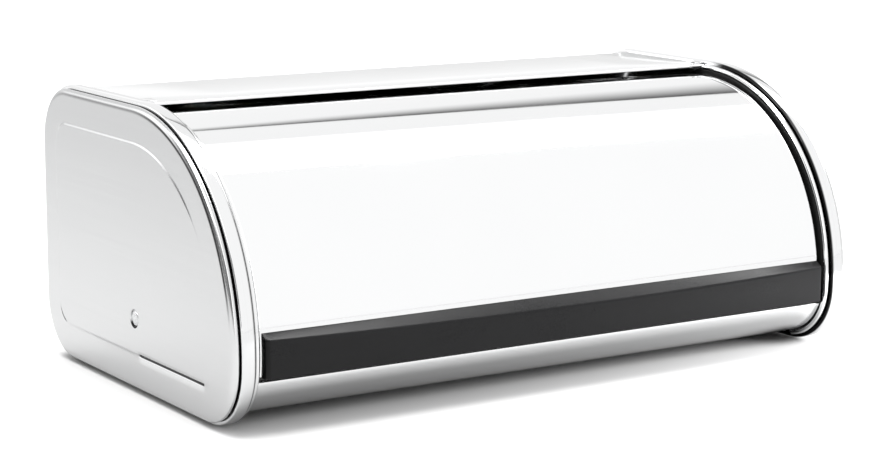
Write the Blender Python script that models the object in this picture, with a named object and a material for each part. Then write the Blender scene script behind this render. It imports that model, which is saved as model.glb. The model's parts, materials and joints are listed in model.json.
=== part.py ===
"""Bread box with a roll-up lid: pressed steel ends, a bent steel body and a curved lid on two side pins.

Metres, +Z up, front towards -Y. The origin is on the surface that the box stands on, under its middle.
"""

import math

import bmesh
import bpy
from mathutils import Matrix, Vector

MM = 0.001
GAP = 0.3 * MM

# Overall sizes
HALF_WIDTH = 223.0 * MM
HALF_DEPTH = 127.6 * MM
SHEET = 0.8 * MM

# Side outline: one large arc about the lid's pivot, and three small corners
PIVOT_Y = -2.6 * MM
PIVOT_Z = 46.2 * MM
ARC_RADIUS = 125.0 * MM
END_BOTTOM = 5.2 * MM
REAR_CORNER = 34.0 * MM
FRONT_CORNER = 36.0 * MM

# Pressed end panels
FIELD_INSET = 19.6 * MM
FIELD_RAISE = 0.5 * MM
FIELD_STEP = 0.8 * MM
END_FILLET = 2.0 * MM
END_FLANGE = 5.6 * MM
DIMPLE_RADIUS = 5.5 * MM
DIMPLE_DEPTH = 1.5 * MM
DIMPLE_WALL = 7.0 * MM

# Rim trim, measured inwards from the end face and outwards from the outline
BAND_START = 4.7 * MM
BAND_END = 13.2 * MM
BAND_RISE = 4.2 * MM
BAND_CROWN = 0.3 * MM
BAND_WALL = 1.0 * MM
BAND_EDGE = 0.8 * MM
BEAD_START = 13.5 * MM
BEAD_END = 17.0 * MM
BEAD_RISE = 1.8 * MM
BEAD_SKIRT = 1.1 * MM
BEAD_TOP_ANGLE = 87.5
BEAD_LOW_ANGLE = 262.0
GUIDE_TOP_ANGLE = 84.0
GUIDE_LOW_ANGLE = 183.0
GUIDE_DEPTH = 9.0 * MM

# Bent body sheet
BODY_HALF = HALF_WIDTH - BAND_END - 0.4 * MM
BODY_BOTTOM = 6.7 * MM
BODY_REAR = 126.1 * MM
BODY_TOP = 173.4 * MM
BODY_CORNER = 32.5 * MM
BODY_TOP_CORNER = 35.0 * MM
LIP_EDGE_Y = 4.0 * MM
LIP_BEND_Y = 29.0 * MM
LIP_EDGE_TOP = 172.9 * MM
LIP_HEM = 6.0 * MM
LIP_HEM_THICK = 1.3 * MM
SILL_TOP = 30.6 * MM
SILL_CORNER = 34.5 * MM
SILL_LEDGE = 6.5 * MM

# Buffers on the sill, and the tabs on the top lip
BUFFER_HEIGHT = 3.3 * MM
BUFFER_DEPTH = 3.4 * MM
BUFFER_SETBACK = 2.0 * MM
BUFFER_INNER = 4.4 * MM
BUFFER_OUTER = 2.4 * MM
CLIP_FRONT_Y = 5.0 * MM
CLIP_LENGTH = 10.0 * MM
CLIP_WIDTH = 7.1 * MM
CLIP_THICK = 1.1 * MM

# Lid
LID_RADIUS = 121.9 * MM
LID_HALF = 204.5 * MM
LID_REAR_ANGLE = 78.0
LID_LOW_ANGLE = 186.1
CHEEK_HALF = 202.6 * MM
CHEEK_FLANGE = 8.0 * MM
CHEEK_HUB = 15.0 * MM
CHEEK_MARGIN = 0.6

# Handle bar
HANDLE_HALF = 202.4 * MM
HANDLE_BOTTOM = 32.6 * MM
HANDLE_TOP = 58.2 * MM
HANDLE_FRONT = 131.5 * MM
HANDLE_BOW = 0.6 * MM
HANDLE_RIDGE = 52.0 * MM
HANDLE_RIDGE_RISE = 3.2 * MM
HANDLE_END_BEVEL = 1.8 * MM
HANDLE_END_DEPTH = 0.62
SCREW_PLACES = [-0.150, -0.050, 0.050, 0.150]
SCREW_ANGLE = 179.0
SCREW_RADIUS = 1.5 * MM
SCREW_HEAD = 3.2 * MM
SCREW_BITE = 2.2 * MM

# Pivots and feet
PIN_RADIUS = 3.0 * MM
PIN_HEAD = 4.4 * MM
PIN_TAIL = 4.0 * MM
BUSH_RADIUS = 8.0 * MM
CLIP_RING_RADIUS = 6.5 * MM
CLIP_RING_HEIGHT = 1.6 * MM
FOOT_RADIUS = 9.0 * MM
FOOT_X = 175.0 * MM
FOOT_FRONT_Y = -55.0 * MM
FOOT_REAR_Y = 88.0 * MM

SIDES = (("left", -1), ("right", 1))
PIVOT = Vector((0.0, PIVOT_Y, PIVOT_Z))


def clear_scene():
    for obj in list(bpy.data.objects):
        bpy.data.objects.remove(obj)


def material(name, color, metallic, roughness):
    made = bpy.data.materials.new(name)
    made.use_nodes = True
    shader = made.node_tree.nodes["Principled BSDF"]
    shader.inputs["Base Color"].default_value = (*color, 1.0)
    shader.inputs["Metallic"].default_value = metallic
    shader.inputs["Roughness"].default_value = roughness
    return made


def add_mesh(name, bm, finish):
    """Puts a closed bmesh in the scene with its faces turned outwards."""
    bmesh.ops.recalc_face_normals(bm, faces=bm.faces)
    mesh = bpy.data.meshes.new(name)
    bm.to_mesh(mesh)
    bm.free()
    mesh.shade_smooth()
    mesh.set_sharp_from_angle(angle=math.radians(30))
    mesh.materials.append(finish)
    obj = bpy.data.objects.new(name, mesh)
    bpy.context.scene.collection.objects.link(obj)
    return obj


def as_tool(obj):
    """Hides a solid that only cuts or extends another."""
    obj.hide_render = True
    obj.display_type = "WIRE"
    return obj


def combine(obj, tool, operation):
    modifier = obj.modifiers.new(f"{operation.lower()} {tool.name}", "BOOLEAN")
    modifier.operation = operation
    modifier.object = as_tool(tool)


def arc(centre_y, centre_z, radius, start, end, steps):
    """Stations along an arc: its centre, its radius and the angle, which runs from +Y towards +Z."""
    turns = [start + (end - start) * i / steps for i in range(steps + 1)]
    return [(centre_y, centre_z, radius, math.radians(turn)) for turn in turns]


def at(station, offset=0.0):
    """The (y, z) of a station, moved outwards by an offset."""
    centre_y, centre_z, radius, angle = station
    reach = radius + offset
    return centre_y + reach * math.cos(angle), centre_z + reach * math.sin(angle)


def corner_beside_arc(arc_radius, corner_radius, centre_z):
    """Where a small front corner's centre lies, and the angle at which it meets the large arc."""
    rise = centre_z - PIVOT_Z
    run = math.sqrt((arc_radius - corner_radius) ** 2 - rise**2)
    return PIVOT_Y - run, 180 + math.degrees(math.atan2(-rise, run))


FRONT_CENTRE_Z = END_BOTTOM + FRONT_CORNER
FRONT_CENTRE_Y, FRONT_MEET = corner_beside_arc(ARC_RADIUS, FRONT_CORNER, FRONT_CENTRE_Z)
SILL_CENTRE_Z = BODY_BOTTOM + SILL_CORNER
SILL_TURN = 180 + math.degrees(math.asin((SILL_CENTRE_Z - SILL_TOP) / SILL_CORNER))
SILL_FRONT = FRONT_CENTRE_Y + SILL_CORNER * math.cos(math.radians(SILL_TURN))


def front_corner(start, end, steps):
    return arc(FRONT_CENTRE_Y, FRONT_CENTRE_Z, FRONT_CORNER, start, end, steps)


def front_arc(start, end, steps):
    return arc(PIVOT_Y, PIVOT_Z, ARC_RADIUS, start, end, steps)


def rear_corners():
    """The low and the high rear corner of the side outline."""
    centre_y = HALF_DEPTH - REAR_CORNER
    top = PIVOT_Z + ARC_RADIUS
    low = arc(centre_y, END_BOTTOM + REAR_CORNER, REAR_CORNER, 270, 360, 8)
    return low + arc(centre_y, top - REAR_CORNER, REAR_CORNER, 360, 450, 8)


def end_outline():
    """The whole side outline, from the top of the large arc round the front, the bottom and the rear."""
    return front_arc(90, FRONT_MEET, 24) + front_corner(FRONT_MEET, 270, 8)[1:] + rear_corners()


def bridge_rings(bm, rings, closed):
    count = len(rings)
    for i in range(count if closed else count - 1):
        low, high = rings[i], rings[(i + 1) % count]
        for j in range(len(low)):
            k = (j + 1) % len(low)
            bm.faces.new((low[j], low[k], high[k], high[j]))


def swept(name, stations, section, side, finish):
    """A strip that follows the outline. The section is a closed loop of (inset from the end face, offset)."""
    bm = bmesh.new()
    rings = []
    for station in stations:
        ring = []
        for inset, offset in section:
            y, z = at(station, offset)
            ring.append(bm.verts.new((side * (HALF_WIDTH - inset), y, z)))
        rings.append(ring)
    bridge_rings(bm, rings, closed=False)
    bm.faces.new(rings[0])
    bm.faces.new(rings[-1])
    return add_mesh(name, bm, finish)


def pressed(name, stations, levels, side, finish):
    """A pan pressed from one sheet: a closed skin of outlines at (inset, offset) levels, front to back."""
    bm = bmesh.new()
    rings = []
    for inset, offset in levels:
        places = [at(station, offset) for station in stations]
        rings.append([bm.verts.new((side * (HALF_WIDTH - inset), y, z)) for y, z in places])
    bridge_rings(bm, rings, closed=False)
    bm.faces.new(rings[0])
    bm.faces.new(rings[-1])
    return add_mesh(name, bm, finish)


def extruded(name, outline, low_x, high_x, finish):
    """A solid with one (y, z) outline all along X."""
    bm = bmesh.new()
    rings = [[bm.verts.new((x, y, z)) for y, z in outline] for x in (low_x, high_x)]
    bridge_rings(bm, rings, closed=False)
    bm.faces.new(rings[0])
    bm.faces.new(rings[1])
    return add_mesh(name, bm, finish)


def turned(name, profile, finish, place, direction, steps=24):
    """A turned solid. Profile points are (radius, height) along the direction. A tube's profile is a loop."""
    bm = bmesh.new()
    rings = []
    for radius, height in profile:
        if radius == 0:
            rings.append([bm.verts.new((0, 0, height))])
            continue
        turns = [2 * math.pi * i / steps for i in range(steps)]
        rings.append([bm.verts.new((radius * math.cos(t), radius * math.sin(t), height)) for t in turns])
    tube = profile[0][0] > 0
    for low, high in zip(rings, rings[1:] + rings[:1] if tube else rings[1:]):
        for i in range(steps):
            j = (i + 1) % steps
            corners = [low[0]] if len(low) == 1 else [low[i], low[j]]
            corners += [high[0]] if len(high) == 1 else [high[j], high[i]]
            bm.faces.new(corners)
    turn = Vector((0, 0, 1)).rotation_difference(Vector(direction)).to_matrix().to_4x4()
    bm.transform(Matrix.Translation(place) @ turn)
    return add_mesh(name, bm, finish)


def rod(name, radius, low, high, finish, place, direction, steps=24):
    profile = [(0, low), (radius, low), (radius, high), (0, high)]
    return turned(name, profile, finish, place, direction, steps)


def on_axis(side, inset):
    """A point on the pivot line, this far in from the end face."""
    return Vector((side * (HALF_WIDTH - inset), PIVOT_Y, PIVOT_Z))


def rounded_corner(inset, radius, wall, steps=3):
    """Section points round the end panel's outer edge, or its inner side when the wall is counted off."""
    turns = [math.pi / 2 * i / steps for i in range(steps + 1)]
    reach = radius - wall
    return [(inset + radius - reach * math.cos(t), reach * math.sin(t)) for t in turns]


def end_panel(name, side, steel):
    raised = -FIELD_INSET - FIELD_STEP
    flat = -FIELD_INSET + FIELD_STEP
    outer = [(0, raised), (FIELD_RAISE, flat)]
    outer += rounded_corner(FIELD_RAISE, END_FILLET, 0) + [(END_FLANGE, END_FILLET)]
    inner = [(END_FLANGE, END_FILLET - SHEET)]
    inner += rounded_corner(FIELD_RAISE, END_FILLET, SHEET)[::-1]
    inner += [(FIELD_RAISE + SHEET, flat), (SHEET, raised)]
    panel = pressed(name, end_outline(), outer + inner, side, steel)
    inward = (-side, 0, 0)
    face = on_axis(side, 0)
    back = DIMPLE_DEPTH + SHEET
    boss = rod(f"{name}_boss", DIMPLE_WALL, SHEET / 2, back, steel, face, inward)
    cup = rod(f"{name}_cup", DIMPLE_RADIUS, -1 * MM, DIMPLE_DEPTH, steel, face, inward)
    hole = rod(f"{name}_hole", PIN_RADIUS + GAP, 0, 10 * MM, steel, face, inward)
    combine(panel, boss, "UNION")
    combine(panel, cup, "DIFFERENCE")
    combine(panel, hole, "DIFFERENCE")


def band_section():
    """A shallow channel that caps the joint between an end panel and the body."""
    foot = END_FILLET + GAP
    shoulder = BAND_RISE - BAND_CROWN
    ceiling = shoulder - BAND_WALL
    return [
        (BAND_START, foot),
        (BAND_START, shoulder - BAND_EDGE),
        (BAND_START + BAND_EDGE, shoulder),
        ((BAND_START + BAND_END) / 2, BAND_RISE),
        (BAND_END - BAND_EDGE, BAND_RISE),
        (BAND_END, BAND_RISE - BAND_EDGE),
        (BAND_END, foot),
        (BAND_END - BAND_WALL, foot),
        (BAND_END - BAND_WALL, ceiling),
        (BAND_START + BAND_WALL, ceiling),
        (BAND_START + BAND_WALL, foot),
    ]


def rim_trim(side_name, side, steel):
    """The rim trim, all round the end, with its butt joint underneath, behind the front corner."""
    stations = [(FRONT_CENTRE_Y + GAP, FRONT_CENTRE_Z, FRONT_CORNER, math.radians(270))]
    stations += rear_corners() + front_arc(90, FRONT_MEET, 26)
    stations += front_corner(FRONT_MEET, 270, 8)[1:]
    swept(f"rim_trim_{side_name}", stations, band_section(), side, steel)


def arch_bead(side_name, side, steel):
    """A rolled bead that edges the lid's opening, from the top lip down past the sill."""
    middle = (BEAD_START + BEAD_END) / 2
    half = (BEAD_END - BEAD_START) / 2
    section = [(BEAD_START, -BEAD_SKIRT)]
    for turn in (180, 150, 120, 90, 60, 30, 0):
        angle = math.radians(turn)
        section.append((middle + half * math.cos(angle), BEAD_RISE - half + half * math.sin(angle)))
    section.append((BEAD_END, -BEAD_SKIRT))
    stations = front_arc(BEAD_TOP_ANGLE, FRONT_MEET, 25)
    stations += front_corner(FRONT_MEET, BEAD_LOW_ANGLE, 8)[1:]
    swept(f"arch_bead_{side_name}", stations, section, side, steel)


def lid_guide(side_name, side, plastic):
    """A plastic strip under the bead that keeps the lid's end clear of the rim."""
    low = BEAD_START + GAP
    high = BEAD_END - GAP
    top = -BEAD_SKIRT - GAP
    section = [(low, -GUIDE_DEPTH), (low, top), (high, top), (high, -GUIDE_DEPTH)]
    stations = front_arc(GUIDE_TOP_ANGLE, GUIDE_LOW_ANGLE, 24)
    swept(f"lid_guide_{side_name}", stations, section, side, plastic)


def body_outline():
    """One sheet bent round the bottom, rear and top, with a hemmed top lip and a ledge along the sill."""
    high_y, high_z = BODY_REAR - BODY_TOP_CORNER, BODY_TOP - BODY_TOP_CORNER
    top = arc(high_y, high_z, BODY_TOP_CORNER, 90, 0, 8)
    low = arc(BODY_REAR - BODY_CORNER, BODY_BOTTOM + BODY_CORNER, BODY_CORNER, 0, -90, 8)
    sill = arc(FRONT_CENTRE_Y, SILL_CENTRE_Z, SILL_CORNER, 270, SILL_TURN, 8)
    ledge_back = SILL_FRONT + SILL_LEDGE
    outer = [(LIP_EDGE_Y, LIP_EDGE_TOP), (LIP_BEND_Y, BODY_TOP)]
    outer += [at(station) for station in top + low + sill]
    ledge = [(ledge_back, SILL_TOP), (ledge_back, SILL_TOP - SHEET)]
    inner_sill = [station for station in sill if at(station, -SHEET)[1] < SILL_TOP - 2 * SHEET]
    inner = [(at(sill[-1], -SHEET)[0] + 0.3 * MM, SILL_TOP - SHEET)]
    inner += [at(station, -SHEET) for station in inner_sill[::-1] + low[::-1] + top[::-1]]
    inner += [(LIP_BEND_Y, BODY_TOP - SHEET), (LIP_EDGE_Y + LIP_HEM, LIP_EDGE_TOP - SHEET)]
    hem_low = LIP_EDGE_TOP - LIP_HEM_THICK
    hem = [(LIP_EDGE_Y + LIP_HEM, hem_low), (LIP_EDGE_Y, hem_low)]
    return outer + ledge + inner + hem


def lip_clip(side_name, side, steel):
    """A small folded tab that ties the end of the top lip to the rim."""
    low = BODY_TOP + GAP
    back_y = CLIP_FRONT_Y + CLIP_LENGTH
    outline = [
        (CLIP_FRONT_Y, low),
        (CLIP_FRONT_Y, low + CLIP_THICK / 2),
        (CLIP_FRONT_Y + 2 * CLIP_THICK, low + CLIP_THICK),
        (back_y - CLIP_THICK, low + CLIP_THICK),
        (back_y, low),
    ]
    outer_x = BODY_HALF - GAP
    ends = sorted((side * outer_x, side * (outer_x - CLIP_WIDTH)))
    extruded(f"lip_clip_{side_name}", outline, ends[0], ends[1], steel)


def pivot_parts(side_name, side, steel, plastic):
    """A headed pin in the end panel's dimple, the bush between panel and lid, and the clip inside the lid."""
    inward = (-side, 0, 0)
    face = on_axis(side, 0)
    cheek_out = HALF_WIDTH - CHEEK_HALF
    cheek_in = cheek_out + SHEET
    head_low = 0.1 * MM
    head_high = DIMPLE_DEPTH - GAP
    tip = cheek_in + PIN_TAIL
    pin = [
        (0, head_low),
        (PIN_HEAD - 1.2 * MM, head_low),
        (PIN_HEAD, head_low + 0.5 * MM),
        (PIN_HEAD, head_high),
        (PIN_RADIUS, head_high),
        (PIN_RADIUS, tip),
        (0, tip),
    ]
    turned(f"pivot_pin_{side_name}", pin, steel, face, inward)
    bore = PIN_RADIUS + GAP
    low = DIMPLE_DEPTH + SHEET + GAP
    high = cheek_out - GAP
    bush = [(bore, low), (BUSH_RADIUS, low), (BUSH_RADIUS, high), (bore, high)]
    turned(f"pivot_bush_{side_name}", bush, plastic, face, inward)
    low = cheek_in + GAP
    high = low + CLIP_RING_HEIGHT
    shoulder = high - 0.6 * MM
    ring = [(bore, low), (CLIP_RING_RADIUS, low), (CLIP_RING_RADIUS, shoulder), (5 * MM, high), (bore, high)]
    turned(f"pivot_clip_{side_name}", ring, steel, face, inward)


def foot(name, x, y, rubber):
    high = BODY_BOTTOM - GAP
    profile = [(0, 0), (FOOT_RADIUS - 1 * MM, 0), (FOOT_RADIUS, 1 * MM), (FOOT_RADIUS, high), (0, high)]
    turned(name, profile, rubber, Vector((x, y, 0)), (0, 0, 1))


def sill_buffer(side_name, side, rubber):
    """A pad on the sill's ledge, under the cheek's low edge, that the closed lid rests on."""
    front, low = SILL_FRONT + BUFFER_SETBACK, SILL_TOP + GAP
    back, high = front + BUFFER_DEPTH, low + BUFFER_HEIGHT
    outline = [(front, low), (back, low), (back, high), (front, high)]
    ends = sorted((side * (CHEEK_HALF - BUFFER_INNER), side * (CHEEK_HALF + BUFFER_OUTER)))
    extruded(f"sill_buffer_{side_name}", outline, ends[0], ends[1], rubber)


def lid_stations(radius, start=LID_REAR_ANGLE, end=LID_LOW_ANGLE, steps=36):
    return arc(PIVOT_Y, PIVOT_Z, radius, start, end, steps)


def screw_axis(x):
    """A point on the pivot line and the direction in which a handle screw runs outwards."""
    angle = math.radians(SCREW_ANGLE)
    return Vector((x, PIVOT_Y, PIVOT_Z)), (0, math.cos(angle), math.sin(angle))


def lid_sheet(steel):
    outer = [at(station) for station in lid_stations(LID_RADIUS)]
    inner = [at(station, -SHEET) for station in lid_stations(LID_RADIUS)]
    sheet = extruded("lid_sheet", outer + inner[::-1], -LID_HALF, LID_HALF, steel)
    for i, x in enumerate(SCREW_PLACES):
        place, outwards = screw_axis(x)
        low, high = LID_RADIUS - 5 * MM, LID_RADIUS + 5 * MM
        hole = rod(f"lid_hole_{i}", SCREW_RADIUS + GAP, low, high, steel, place, outwards, 12)
        combine(sheet, hole, "DIFFERENCE")
    return sheet


def lid_cheek(side_name, side, steel):
    """A sector plate that carries one end of the lid, with a flange folded in under the sheet."""
    edge = LID_RADIUS - SHEET - GAP
    start = LID_REAR_ANGLE + CHEEK_MARGIN
    low_angle = LID_LOW_ANGLE - CHEEK_MARGIN
    stations = lid_stations(edge, start, low_angle, 30)
    rim = [at(station) for station in stations]
    hub = [at(station) for station in arc(PIVOT_Y, PIVOT_Z, CHEEK_HUB, low_angle + 60, 378, 8)]
    outer_x = side * CHEEK_HALF
    inner_x = side * (CHEEK_HALF - SHEET)
    ends = sorted((outer_x, inner_x))
    cheek = extruded(f"lid_cheek_{side_name}", rim + hub, ends[0], ends[1], steel)
    under = [at(station, -SHEET) for station in stations]
    ends = sorted((side * (CHEEK_HALF - SHEET / 2), side * (CHEEK_HALF - CHEEK_FLANGE)))
    flange = extruded(f"cheek_flange_{side_name}", rim + under[::-1], ends[0], ends[1], steel)
    combine(cheek, flange, "UNION")
    face, inward = on_axis(side, 0), (-side, 0, 0)
    hole = rod(f"cheek_hole_{side_name}", PIN_RADIUS + GAP, 0, 60 * MM, steel, face, inward)
    combine(cheek, hole, "DIFFERENCE")
    return cheek


def handle_ring(x, depth):
    """The handle's (y, z) section at x. Depth 1 is its full projection, and 0 is flush with the lid."""
    bow = (x / HANDLE_HALF) ** 2
    back_radius = LID_RADIUS + GAP
    back = []
    steps = 6
    for i in range(steps + 1):
        z = HANDLE_TOP + (HANDLE_BOTTOM - HANDLE_TOP) * i / steps
        back.append((PIVOT_Y - math.sqrt(back_radius**2 - (z - PIVOT_Z) ** 2), z))
    closest = PIVOT_Y - back_radius - 0.5 * MM
    full = -HANDLE_FRONT + HANDLE_BOW * bow
    front = closest + (full - closest) * depth
    ridge = HANDLE_RIDGE + HANDLE_RIDGE_RISE * bow
    return back + [(front, HANDLE_BOTTOM), (front, ridge)]


def handle_bar(plastic):
    """A nearly straight bar as wide as the lid, with a sloping top and a small bevel at each end."""
    shoulder = HANDLE_HALF - HANDLE_END_BEVEL
    places = [(-HANDLE_HALF, HANDLE_END_DEPTH)]
    places += [(-shoulder + 2 * shoulder * i / 16, 1) for i in range(17)]
    places.append((HANDLE_HALF, HANDLE_END_DEPTH))
    bm = bmesh.new()
    rings = [[bm.verts.new((x, y, z)) for y, z in handle_ring(x, depth)] for x, depth in places]
    bridge_rings(bm, rings, closed=False)
    bm.faces.new(rings[0])
    bm.faces.new(rings[-1])
    bar = add_mesh("handle_bar", bm, plastic)
    for i, x in enumerate(SCREW_PLACES):
        place, outwards = screw_axis(x)
        low, high = LID_RADIUS - 1 * MM, LID_RADIUS + SCREW_BITE + GAP
        hole = rod(f"handle_hole_{i}", SCREW_RADIUS + GAP, low, high, plastic, place, outwards, 12)
        combine(bar, hole, "DIFFERENCE")
    return bar


def handle_screw(name, x, steel):
    """A pan-head screw from inside the lid into the handle."""
    place, outwards = screw_axis(x)
    seat = LID_RADIUS - SHEET - GAP
    crown = seat - 2.0 * MM
    tip = LID_RADIUS + SCREW_BITE
    profile = [
        (0, crown),
        (2.0 * MM, crown),
        (SCREW_HEAD, seat - 1.0 * MM),
        (SCREW_HEAD, seat),
        (SCREW_RADIUS, seat),
        (SCREW_RADIUS, tip),
        (0, tip),
    ]
    return turned(name, profile, steel, place, outwards, 16)


def hang_on_pivot(pieces):
    """Gives the lid's pieces an empty on the pivot line, so that turning it about X rolls the lid."""
    axis = bpy.data.objects.new("lid_axis", None)
    axis.location = PIVOT
    bpy.context.scene.collection.objects.link(axis)
    bpy.context.view_layer.update()
    for piece in pieces:
        tools = [modifier.object for modifier in piece.modifiers if modifier.type == "BOOLEAN"]
        for obj in [piece] + tools:
            obj.parent = axis
            obj.matrix_parent_inverse = axis.matrix_world.inverted()


def build():
    clear_scene()
    mirror_steel = material("polished steel", (0.86, 0.87, 0.88), 1.0, 0.05)
    satin_steel = material("satin steel", (0.72, 0.73, 0.74), 1.0, 0.32)
    trim_steel = material("bright trim", (0.80, 0.81, 0.82), 1.0, 0.15)
    handle_plastic = material("handle plastic", (0.015, 0.015, 0.017), 0.0, 0.35)
    guide_plastic = material("guide plastic", (0.02, 0.02, 0.02), 0.0, 0.5)
    bush_plastic = material("bush plastic", (0.80, 0.80, 0.78), 0.0, 0.45)
    rubber = material("foot rubber", (0.05, 0.05, 0.05), 0.0, 0.8)

    extruded("body_shell", body_outline(), -BODY_HALF, BODY_HALF, mirror_steel)
    lid = [lid_sheet(mirror_steel), handle_bar(handle_plastic)]
    for side_name, side in SIDES:
        end_panel(f"end_panel_{side_name}", side, satin_steel)
        rim_trim(side_name, side, trim_steel)
        arch_bead(side_name, side, trim_steel)
        lid_guide(side_name, side, guide_plastic)
        lip_clip(side_name, side, trim_steel)
        pivot_parts(side_name, side, trim_steel, bush_plastic)
        sill_buffer(side_name, side, rubber)
        foot(f"foot_front_{side_name}", side * FOOT_X, FOOT_FRONT_Y, rubber)
        foot(f"foot_rear_{side_name}", side * FOOT_X, FOOT_REAR_Y, rubber)
        lid.append(lid_cheek(side_name, side, satin_steel))
    for number, x in enumerate(SCREW_PLACES, start=1):
        lid.append(handle_screw(f"handle_screw_{number}", x, trim_steel))
    hang_on_pivot(lid)


build()
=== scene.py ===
"""Bread box with a roll-up lid: mirror-polished lid, satin pressed ends, bright trim, black handle bar."""

import json
import math

import bmesh
import bpy
from mathutils import Matrix, Vector


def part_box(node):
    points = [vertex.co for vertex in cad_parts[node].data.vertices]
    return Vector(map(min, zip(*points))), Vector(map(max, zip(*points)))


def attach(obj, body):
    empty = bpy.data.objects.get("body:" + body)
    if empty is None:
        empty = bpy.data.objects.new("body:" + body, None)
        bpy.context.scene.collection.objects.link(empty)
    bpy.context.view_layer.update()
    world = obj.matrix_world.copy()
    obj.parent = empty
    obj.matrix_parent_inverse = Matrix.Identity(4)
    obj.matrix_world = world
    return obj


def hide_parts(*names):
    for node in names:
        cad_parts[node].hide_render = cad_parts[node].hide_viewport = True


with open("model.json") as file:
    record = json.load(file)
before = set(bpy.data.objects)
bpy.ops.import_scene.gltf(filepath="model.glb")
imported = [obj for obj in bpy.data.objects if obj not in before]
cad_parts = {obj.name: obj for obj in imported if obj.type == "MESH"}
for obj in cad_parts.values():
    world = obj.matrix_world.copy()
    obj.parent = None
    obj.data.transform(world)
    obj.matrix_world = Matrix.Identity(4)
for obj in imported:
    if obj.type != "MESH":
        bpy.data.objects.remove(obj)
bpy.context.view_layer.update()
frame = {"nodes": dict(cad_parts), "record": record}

MM = 0.001
SIDES = (("left", -1), ("right", 1))

# Places read from the frame
PIVOT = Vector(frame["record"]["behaviour"]["joints"][0]["pos_m"])
PANEL_LOW, PANEL_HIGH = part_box("end_panel_left")
TRIM_LOW, TRIM_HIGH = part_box("rim_trim_left")
BODY_LOW, BODY_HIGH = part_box("body_shell")
LID_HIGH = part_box("lid_sheet")[1]
BEAD_LOW, BEAD_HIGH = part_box("arch_bead_left")
GUIDE_LOW, GUIDE_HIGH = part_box("lid_guide_left")
BAR_LOW, BAR_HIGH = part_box("handle_bar")

# Side outline: one large arc about the pivot and three small corners
RING_RADIUS = 2.0 * MM
HALF_WIDTH = -PANEL_LOW.x
ARC_RADIUS = PANEL_HIGH.z - RING_RADIUS - PIVOT.z
END_BOTTOM = PANEL_LOW.z + RING_RADIUS
END_REAR = PANEL_HIGH.y - RING_RADIUS
REAR_CORNER = 34.0 * MM
FRONT_CORNER = 36.0 * MM
ARC_STEPS = 72
FRONT_STEPS = 28
REAR_STEPS = 20

# Sheet and trim
SHEET = 0.8 * MM
GAP = 0.3 * MM
TRIM_RISE = TRIM_HIGH.z - PIVOT.z - ARC_RADIUS
TRIM_CROWN = 0.35 * MM
TRIM_LAP = 0.9 * MM
TRIM_EDGE = 0.75 * MM
BEAD_LAP = 1.1 * MM
BEAD_EDGE = 1.35 * MM
JOINT_X = -(TRIM_HIGH.x + BEAD_LOW.x) / 2
JOINT_CORE = 0.5 * MM
JOINT_REACH = 1.5 * MM
JOINT_END_Y = -15.0 * MM
BEAD_TOP_ANGLE = 87.5
BEAD_FOOT_ANGLE = 262.0
GUIDE_ANGLES = (84.0, 183.0)
GUIDE_TOP = -1.4 * MM
GUIDE_DEPTH = 7.6 * MM

# Pressed ends
FACE_SINK = 0.5 * MM
FIELD_INSET = 19.6 * MM
FIELD_STEP = 2.2 * MM
FIELD_FADE_Y = -112.0 * MM
FIELD_TOP_FULL_Y = -58.0 * MM
FIELD_BOTTOM_FULL_Y = -70.0 * MM
FIELD_MIDDLE_Z = (40.0 * MM, 60.0 * MM)
SEAM_TOP_ANGLES = (35.0, 60.0)
SEAM_FRONT_ANGLES = (88.0, 110.0)
SEAM_END_ANGLES = (160.0, 174.0)
EDGE_REACH = 4.2 * MM
EDGE_LEVELS = 16
CREASE_TOP_Z = 34.0 * MM
CREASE_FRONT_Y = -93.0 * MM
CREASE_REAR_Y = -8.0 * MM
CREASE_CORNER_Y = 97.0 * MM
CREASE_CORNER_DEPTH = 0.5
CREASE_DEPTH = 0.6 * MM
CREASE_SHADE = 1.8
DIMPLE_RADIUS = 5.5 * MM
DIMPLE_DEPTH = 1.5 * MM
DIMPLE_ROLL = 1.2 * MM

# Body sheet
LIP_FRONT_Y = 4.0 * MM
LIP_FOLD = 0.43 * MM
LIP_HEM = 6.0 * MM
LIP_BEND_Y = 29.0 * MM
LIP_DROP = 0.5 * MM
BODY_LOW_CORNER = 32.5 * MM
BODY_TOP_CORNER = 35.0 * MM
SILL_CORNER = 34.5 * MM
SILL_TOP = 30.6 * MM
SILL_BEND = 0.8 * MM
SILL_LEDGE = 6.5 * MM

# Lid and handle
LID_RADIUS = LID_HIGH.z - PIVOT.z
LID_REAR_ANGLE = 78.0
LID_LOW_ANGLE = 186.1
LID_ROLL = 2.2 * MM
LID_ROLL_TURN = 70.0
BAR_BOW = 0.6 * MM
BAR_RIDGE_Z = 52.0 * MM
BAR_RIDGE_RISE = 3.2 * MM
BAR_ROUND = 1.1 * MM
BAR_END_BEVEL = 1.8 * MM
BAR_END_DEPTH = 0.62
CHEEK_HALF = -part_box("lid_cheek_left")[0].x
CHEEK_FLANGE = 8.0 * MM
CHEEK_HUB = 15.0 * MM
CHEEK_MARGIN = 0.6
SCREW_PLACES = [-0.150, -0.050, 0.050, 0.150]
SCREW_ANGLE = 179.0
SCREW_RADIUS = 1.5 * MM
SCREW_HEAD = 3.2 * MM
SCREW_HEIGHT = 2.0 * MM
SCREW_BITE = 2.2 * MM

# Pivots and feet
PIN_RADIUS = 3.0 * MM
PIN_HEAD = 4.4 * MM
PIN_TAIL = 4.0 * MM
PIN_BORE = 3.3 * MM
BUSH_RADIUS = 8.0 * MM
CLIP_RING_RADIUS = 6.5 * MM
CLIP_RING_HEIGHT = 1.6 * MM
FOOT_RADIUS = 9.0 * MM

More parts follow.
